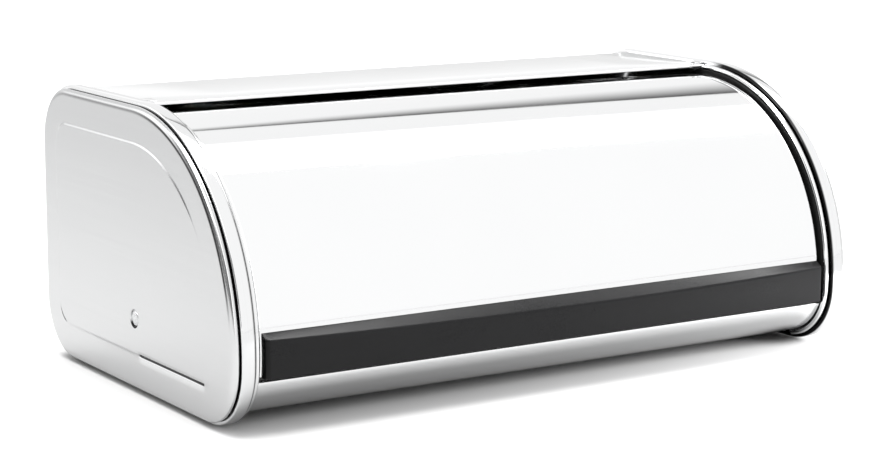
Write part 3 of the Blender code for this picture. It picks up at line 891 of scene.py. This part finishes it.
def lid_sheet():
    bm = bmesh.new()
    rings = []
    for station in arc(PIVOT.y, PIVOT.z, LID_RADIUS, LID_REAR_ANGLE, LID_LOW_ANGLE, 180):
        rings.append([bm.verts.new((x, *at(station, offset))) for x, offset in lid_section()])
    bridge(bm, rings)
    bm.faces.new(rings[0])
    bm.faces.new(rings[-1])
    put("curved_lid_sheet", closed_mesh("lid_sheet", bm, 50), "mirror_steel", "lid", "lid_sheet")


def bar_section(x, depth):
    """The handle's (y, z) section at x, with a sloping top and a softly rounded ridge."""
    half = BAR_HIGH.x
    bow = (x / half) ** 2
    back_radius = LID_RADIUS + GAP
    low, high = BAR_LOW.z, BAR_HIGH.z
    count = 8
    back = []
    for i in range(count + 1):
        z = high + (low - high) * i / count
        back.append((PIVOT.y - math.sqrt(back_radius**2 - (z - PIVOT.z) ** 2), z))
    closest = PIVOT.y - back_radius - 0.4 * MM
    full = BAR_LOW.y + BAR_BOW * bow
    front = closest + (full - closest) * depth
    ridge = BAR_RIDGE_Z + BAR_RIDGE_RISE * bow
    corners = [back[-1], (front, low), (front, ridge), back[0]]
    return back[:-1] + rounded(corners, BAR_ROUND, 6)[:-1]


def bar_depth(x):
    """How far the bar stands out here, from its bevelled ends to full depth, with a rounded shoulder."""
    inwards = BAR_HIGH.x - abs(x)
    ramp = BAR_END_DEPTH + (1 - BAR_END_DEPTH) * inwards / BAR_END_BEVEL
    soft = 0.06
    return 0.5 * (ramp + 1 - math.sqrt((ramp - 1) ** 2 + soft**2)) / (1 - soft * 0.02)


def handle_bar():
    """A nearly straight bar as wide as the lid, with a small bevel at each end."""
    ends = [0.0, 0.3, 0.7, 1.1, 1.4, 1.6, 1.8, 2.0, 2.3, 2.8, 3.6, 5.0, 8.0]
    half = BAR_HIGH.x
    places = [-half + e * MM for e in ends]
    places += [(half - 12 * MM) * (i / 14 - 1) for i in range(29)]
    places += [half - e * MM for e in ends[::-1]]
    bm = bmesh.new()
    rings = [[bm.verts.new((x, y, z)) for y, z in bar_section(x, min(1, bar_depth(x)))] for x in places]
    bridge(bm, rings)
    bm.faces.new(rings[0])
    bm.faces.new(rings[-1])
    put("bowed_handle_bar", closed_mesh("handle_bar", bm), "handle_plastic", "lid", "handle_bar")


# ---------------------------------------------------------------- small pieces

def block(name, outline, low_x, high_x, radius, steps=3):
    """A solid with one (y, z) outline all along X and every edge rounded."""
    bm = bmesh.new()
    rings = [[bm.verts.new((x, y, z)) for y, z in outline] for x in (low_x, high_x)]
    bridge(bm, rings)
    bm.faces.new(rings[0])
    bm.faces.new(rings[1])
    bmesh.ops.bevel(bm, geom=bm.edges[:], offset=radius, segments=steps, profile=0.5, affect="EDGES")
    return closed_mesh(name, bm)


def box_outline(low, high):
    return [(low.y, low.z), (high.y, low.z), (high.y, high.z), (low.y, high.z)]


def pivot_parts(side_name, side):
    """The headed pin in the end's dimple, its bush, and the push-on clip inside the lid."""
    inward = (-side, 0, 0)
    face = Vector((side * HALF_WIDTH, PIVOT.y, PIVOT.z))
    cheek_out = HALF_WIDTH - CHEEK_HALF
    cheek_in = cheek_out + SHEET
    dome = [(PIN_HEAD * math.sin(t), 0.1 * MM + 0.7 * MM * (1 - math.cos(t))) for t in
            (math.pi / 2 * i / 10 for i in range(11))]
    under = DIMPLE_DEPTH - GAP
    tip = cheek_in + PIN_TAIL
    shank = rounded([(PIN_HEAD, under - 0.2 * MM), (PIN_HEAD, under), (PIN_RADIUS, under),
                     (PIN_RADIUS, tip), (0.001 * MM, tip)], 0.35 * MM)
    profile = dome + shank + [(0, tip)]
    pin = turned(f"pivot_pin_{side_name}", profile, face, inward)
    put(f"headed_pivot_pin_{side_name}", pin, "pin_steel", "box", f"pivot_pin_{side_name}")
    low, high = DIMPLE_DEPTH + SHEET + GAP, cheek_out - GAP
    lead = BUSH_RADIUS - 0.01 * MM
    collar = [(PIN_BORE, (low + high) / 2), (PIN_BORE, low), (lead, low), (BUSH_RADIUS, low + 3 * MM),
              (BUSH_RADIUS - 0.8 * MM, low + 3.6 * MM), (BUSH_RADIUS - 0.8 * MM, high - 3.6 * MM),
              (BUSH_RADIUS, high - 3 * MM), (lead, high), (PIN_BORE, high), (PIN_BORE, (low + high) / 2)]
    bush = turned(f"pivot_bush_{side_name}", rounded(collar, 0.5 * MM)[:-1], face, inward)
    put(f"collared_pivot_bush_{side_name}", bush, "bush_plastic", "box", f"pivot_bush_{side_name}")
    low, high = cheek_in + GAP, cheek_in + GAP + CLIP_RING_HEIGHT
    cup = [(PIN_BORE, low + 0.8 * MM), (PIN_BORE, low + 0.4 * MM), (5.0 * MM, low), (CLIP_RING_RADIUS, low),
           (CLIP_RING_RADIUS, low + 0.6 * MM), (5.2 * MM, high - 0.3 * MM), (PIN_BORE + 0.5 * MM, high),
           (PIN_BORE, high), (PIN_BORE, low + 0.8 * MM)]
    clip = turned(f"pivot_clip_{side_name}", rounded(cup, 0.25 * MM)[:-1], face, inward)
    put(f"domed_pivot_clip_{side_name}", clip, "pin_steel", "box", f"pivot_clip_{side_name}")


def foot(name):
    """A rubber foot with a rounded base and a shallow ring groove in its side."""
    low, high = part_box(name)
    middle = (low + high) / 2
    top = high.z
    waist = FOOT_RADIUS - 0.5 * MM
    corners = [(0.001 * MM, 0.4 * MM), (4.0 * MM, 0.4 * MM), (4.6 * MM, 0), (FOOT_RADIUS, 0),
               (FOOT_RADIUS, 2.6 * MM), (waist, 2.9 * MM), (waist, 3.5 * MM), (FOOT_RADIUS, 3.8 * MM),
               (FOOT_RADIUS, top), (0.001 * MM, top)]
    profile = [(0, 0.4 * MM)] + rounded(corners, 0.9 * MM)[1:-1] + [(0, top)]
    mesh = turned(name, profile, Vector((middle.x, middle.y, 0)), (0, 0, 1), 72)
    put(f"grooved_{name}", mesh, "rubber", "box", name)


def sill_buffer(side_name):
    name = f"sill_buffer_{side_name}"
    low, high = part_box(name)
    mesh = block(name, box_outline(low, high), low.x, high.x, 0.7 * MM, 4)
    put(f"soft_{name}", mesh, "rubber", "box", name)


def lip_clip(side_name):
    """The folded tab at the end of the top lip, with a raised front roll."""
    name = f"lip_clip_{side_name}"
    low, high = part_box(name)
    outline = [(low.y, low.z), (high.y, low.z), (high.y - 0.9 * MM, high.z), (low.y + 2.2 * MM, high.z),
               (low.y, low.z + 0.55 * MM)]
    put(f"folded_{name}", block(name, outline, low.x, high.x, 0.16 * MM), "trim_steel", "box", name)


def lid_cheek(side_name, side):
    """A sector plate from pivot to lid, with a hole for the pin and a flange under the sheet."""
    edge = LID_RADIUS - SHEET - 1.1 * MM
    start, end = LID_REAR_ANGLE + CHEEK_MARGIN, LID_LOW_ANGLE - CHEEK_MARGIN
    rim = [at(s) for s in arc(PIVOT.y, PIVOT.z, edge, start, end, 120)]
    hub = [at(s) for s in arc(PIVOT.y, PIVOT.z, CHEEK_HUB, end + 60, 378, 36)]
    outline = rim + hub
    bm = bmesh.new()

    def loop(inset, shrink, radius=None):
        """The outline made smaller by shrink, or a circle of this radius about the pivot."""
        made = []
        for y, z in outline:
            out = Vector((y - PIVOT.y, z - PIVOT.z))
            spot = out.normalized() * (radius or out.length - shrink)
            made.append(bm.verts.new((side * (CHEEK_HALF - inset), PIVOT.y + spot.x, PIVOT.z + spot.y)))
        return made

    soft = 0.2 * MM
    rings = [loop(0, 0, PIN_BORE), loop(0, soft), loop(soft * 0.3, soft * 0.3), loop(soft, 0),
             loop(SHEET - soft, 0), loop(SHEET, soft), loop(SHEET, 0, PIN_BORE)]
    bridge(bm, rings, closed=True)
    bmesh.ops.recalc_face_normals(bm, faces=bm.faces)
    stations = [at(s, -SHEET / 2) for s in arc(PIVOT.y, PIVOT.z, edge, start, end, 120)]
    low_x, high_x = sorted((side * (CHEEK_HALF - SHEET * 0.9), side * (CHEEK_HALF - CHEEK_FLANGE)))
    name = f"lid_cheek_{side_name}"
    bm.from_mesh(strip(name, stations, "satin_steel", low_x, high_x, SHEET, 0.3 * MM))
    put(f"flanged_{name}", closed_mesh(name, bm), "satin_steel", "lid", name)


def screw_row_tree():
    """A row of equal screws with a cross recess in each head."""
    tree = new_tree("screw row", (("Screw", "Geometry"), ("Count", "Int", 4), ("First", "Vector"),
                                  ("Pitch", "Float", 100 * MM), ("Tilt", "Float"),
                                  ("Recess Length", "Float", 4 * MM), ("Recess Width", "Float", 1 * MM),
                                  ("Recess Depth", "Float", 1 * MM), ("Material", "Material")))
    new, link = tree.nodes.new, tree.links.new
    sizes = new("NodeGroupInput").outputs
    recessed = new("GeometryNodeMeshBoolean")
    recessed.operation = "DIFFERENCE"
    recessed.solver = "EXACT"
    link(sizes["Screw"], recessed.inputs["Mesh 1"])
    for along_x, along_y in (("Recess Length", "Recess Width"), ("Recess Width", "Recess Length")):
        size = new("ShaderNodeCombineXYZ")
        link(sizes[along_x], size.inputs["X"])
        link(sizes[along_y], size.inputs["Y"])
        link(sizes["Recess Depth"], size.inputs["Z"])
        bar = new("GeometryNodeMeshCube")
        link(size.outputs["Vector"], bar.inputs["Size"])
        link(bar.outputs["Mesh"], recessed.inputs["Mesh 2"])
    step = new("ShaderNodeCombineXYZ")
    link(sizes["Pitch"], step.inputs["X"])
    line = new("GeometryNodeMeshLine")
    line.mode = "OFFSET"
    link(sizes["Count"], line.inputs["Count"])
    link(sizes["First"], line.inputs["Start Location"])
    link(step.outputs["Vector"], line.inputs["Offset"])
    turn = new("ShaderNodeCombineXYZ")
    link(sizes["Tilt"], turn.inputs["X"])
    row = new("GeometryNodeInstanceOnPoints")
    link(line.outputs["Mesh"], row.inputs["Points"])
    link(recessed.outputs["Mesh"], row.inputs["Instance"])
    link(turn.outputs["Vector"], row.inputs["Rotation"])
    return finish_tree(tree, row.outputs["Instances"], sizes["Material"], "Screws")


def handle_screws():
    """Pan-head screws from inside the lid into the handle. A screw's own origin is its head's crown."""
    seat = SCREW_HEIGHT
    tip = seat + SHEET + GAP + SCREW_BITE
    crown = [(SCREW_HEAD * math.sin(t), 1.1 * MM * (1 - math.cos(t))) for t in
             (math.pi / 2 * i / 10 for i in range(11))]
    shank = rounded([(SCREW_HEAD, seat - 0.4 * MM), (SCREW_HEAD, seat), (SCREW_RADIUS, seat),
                     (SCREW_RADIUS, tip), (0.001 * MM, tip)], 0.25 * MM)
    screw = turned("screw", crown + shank + [(0, tip)], Vector(), (0, 0, 1))
    angle = math.radians(SCREW_ANGLE)
    reach = LID_RADIUS - SHEET - GAP - seat
    values = {
        "Count": len(SCREW_PLACES),
        "First": (SCREW_PLACES[0], PIVOT.y + reach * math.cos(angle), PIVOT.z + reach * math.sin(angle)),
        "Pitch": SCREW_PLACES[1] - SCREW_PLACES[0],
        "Tilt": angle - math.pi / 2,
        "Recess Length": 3.4 * MM,
        "Recess Width": 0.8 * MM,
        "Recess Depth": 2.6 * MM,
        "Material": FINISHES["pin_steel"],
    }
    mesh = grown_mesh("handle_screws", bpy.data.objects.new("screw", screw), screw_row_tree(), values)
    names = [f"handle_screw_{number}" for number in range(1, len(SCREW_PLACES) + 1)]
    put("cross_head_handle_screws", mesh, "pin_steel", "lid", *names)


# ---------------------------------------------------------------- studio

def show_light(light, direction, place=Vector()):
    """Puts a light in the scene. It lights the floor and the plastics but isn't mirrored in the steel."""
    lamp = bpy.data.objects.new(light.name, light)
    lamp.rotation_mode = "QUATERNION"
    lamp.rotation_quaternion = Vector(direction).to_track_quat("Z", "Y")
    lamp.location = place
    lamp.visible_glossy = False
    lamp.visible_camera = False
    bpy.context.scene.collection.objects.link(lamp)


def soft_sun(name, direction, spread):
    light = bpy.data.lights.new(name, "SUN")
    light.energy = SUN_STRENGTH
    light.angle = math.radians(spread)
    show_light(light, direction)


def fill_light():
    """A small soft lamp low down beyond the front right corner."""
    light = bpy.data.lights.new("fill light", "AREA")
    light.shape = "DISK"
    light.size = FILL_SIZE
    light.energy = FILL_STRENGTH
    show_light(light, FILL_PLACE - FILL_TARGET, FILL_PLACE)


def studio_floor():
    """A pale floor, which the steel mirrors as a greyer one."""
    bm = bmesh.new()
    bmesh.ops.create_grid(bm, x_segments=1, y_segments=1, size=FLOOR_HALF)
    mesh = bpy.data.meshes.new("studio floor")
    bm.to_mesh(mesh)
    bm.free()
    paint = Paint("studio floor", grey(0.9), 0.0, 0.9)
    paint.shader.inputs["Specular IOR Level"].default_value = 0.0
    pale = paint.blend_colors(paint.noise((3, 3, 3), 2.0), grey(0.895), grey(0.905))
    seen = paint.node("ShaderNodeMix", data_type="RGBA")
    paint.link(paint.node("ShaderNodeLightPath").outputs["Is Glossy Ray"], seen.inputs["Factor"])
    paint.link(pale, seen.inputs["A"])
    seen.inputs["B"].default_value = (*grey(FLOOR_IN_MIRRORS), 1.0)
    paint.set_color(seen.outputs["Result"])
    mesh.materials.append(paint.material)
    floor = bpy.data.objects.new("studio_floor", mesh)
    bpy.context.scene.collection.objects.link(floor)


def studio_world():
    """What the steel mirrors: a white room with one broad overhead panel, its rear edge along the box's
    width, a shade below that edge which widens to the right, and a darker zone low down on the left."""
    world = bpy.data.worlds.new("studio")
    bpy.context.scene.world = world
    world.use_nodes = True
    world.cycles_visibility.diffuse = False
    world.node_tree.nodes.clear()
    room = Nodes(world.node_tree)
    calc, between = room.math, room.between
    x, y, z = room.parts(room.node("ShaderNodeTexCoord").outputs["Generated"])
    rise = calc("DEGREES", calc("ARCTAN2", z, y))
    flat = calc("SQRT", calc("ADD", calc("MULTIPLY", y, y), calc("MULTIPLY", z, z)))
    lean = calc("DIVIDE", x, calc("MAXIMUM", flat, 0.001))

    # The wall behind the box, with the shade below the panel's edge
    wall = calc("MINIMUM", between(rise, 6.0, 11.0, 0.86, 1.08), between(rise, 11.0, 16.0, 1.08, 0.97))
    shade_start = calc("SUBTRACT", PANEL_EDGE, between(lean, 0.45, 0.85, 4.0, 20.0, smooth=False))
    into = between(rise, shade_start, PANEL_EDGE, 0.0, 1.0, smooth=False)
    shade = calc("MULTIPLY", calc("POWER", into, SHADE_CURVE), SHADE_DEPTH)
    wall = calc("MULTIPLY", wall, calc("SUBTRACT", 1.0, shade))

    # The overhead panel: plain white near its edge, brighter above the box, and plain again to the front
    overhead = between(rise, PANEL_EDGE + 14.0, PANEL_EDGE + 26.0, PANEL_NEAR_WHITE, PANEL_BRIGHT)
    to_front = between(rise, PANEL_END, PANEL_END + 1.0, PANEL_BRIGHT, FRONT_WHITE)
    panel = calc("MINIMUM", overhead, to_front)
    above = between(rise, PANEL_EDGE - 0.25, PANEL_EDGE + 0.25, 0.0, 1.0)
    below = calc("SUBTRACT", 1.0, above)
    light = calc("ADD", calc("MULTIPLY", wall, below), calc("MULTIPLY", panel, above))

    # A lighter patch at the left of the wall, and the darker zone low down on the left
    patch = calc("MULTIPLY", between(x, *LIGHT_PATCH_X, 1.0, 0.0), between(rise, 1.0, 8.0, 0.0, 1.0))
    light = calc("ADD", light, calc("MULTIPLY", patch, LIGHT_PATCH_STRENGTH))
    dark = calc("MULTIPLY", between(x, *DARK_ZONE_X, 1.0, 0.0), between(z, *DARK_ZONE_Z, 1.0, 0.0))
    light = calc("MULTIPLY", light, calc("SUBTRACT", 1.0, calc("MULTIPLY", dark, DARK_ZONE_DEPTH)))
    is_camera = room.node("ShaderNodeLightPath").outputs["Is Camera Ray"]
    light = calc("MAXIMUM", light, calc("MULTIPLY", is_camera, CAMERA_WHITE))
    background = room.node("ShaderNodeBackground")
    background.inputs["Color"].default_value = (1.0, 1.0, 1.0, 1.0)
    room.link(light, background.inputs["Strength"])
    room.link(background.outputs[0], room.node("ShaderNodeOutputWorld").inputs["Surface"])


def studio():
    scene = bpy.context.scene
    scene.view_settings.view_transform = "Standard"
    scene.cycles.caustics_reflective = False
    studio_floor()
    studio_world()
    soft_sun("overhead panel", (0.0, 0.10, 1.0), 50)
    soft_sun("room light", (0.0, 0.0, 1.0), 170)
    fill_light()


def camera():
    """A long lens from the front left, a little above the box."""
    a, e, roll = (math.radians(v) for v in (CAMERA_AZIMUTH, CAMERA_ELEVATION, CAMERA_ROLL))
    back = Vector((math.sin(a) * math.cos(e), -math.cos(a) * math.cos(e), math.sin(e)))
    across = Vector((0, 0, 1)).cross(back).normalized()
    up = back.cross(across)
    right = across * math.cos(roll) + up * math.sin(roll)
    up = up * math.cos(roll) - across * math.sin(roll)
    data = bpy.data.cameras.new("camera")
    data.lens = CAMERA_LENS
    data.sensor_width = SENSOR_WIDTH
    data.sensor_fit = "HORIZONTAL"
    holder = bpy.data.objects.new("camera", data)
    turn = Matrix((right, up, back)).transposed().to_4x4()
    holder.matrix_world = Matrix.Translation(CAMERA_PLACE) @ turn
    bpy.context.scene.collection.objects.link(holder)
    bpy.context.scene.camera = holder


def finish_cad_nodes():
    """Gives every CAD node the finish of the piece that stands for it."""
    for item in frame["record"]["subparts"]:
        node = frame["nodes"][item["node"]]
        node.data.materials.clear()
        node.data.materials.append(FINISHES[item["material_slot"]])


finish_cad_nodes()
body_shell()
lid_sheet()
handle_bar()
for side_name, side in SIDES:
    end_panel(side_name, side)
    rim_trim(side_name, side)
    arch_bead(side_name, side)
    lid_guide(side_name, side)
    lip_clip(side_name)
    pivot_parts(side_name, side)
    sill_buffer(side_name)
    lid_cheek(side_name, side)
    foot(f"foot_front_{side_name}")
    foot(f"foot_rear_{side_name}")
handle_screws()
studio()
camera()
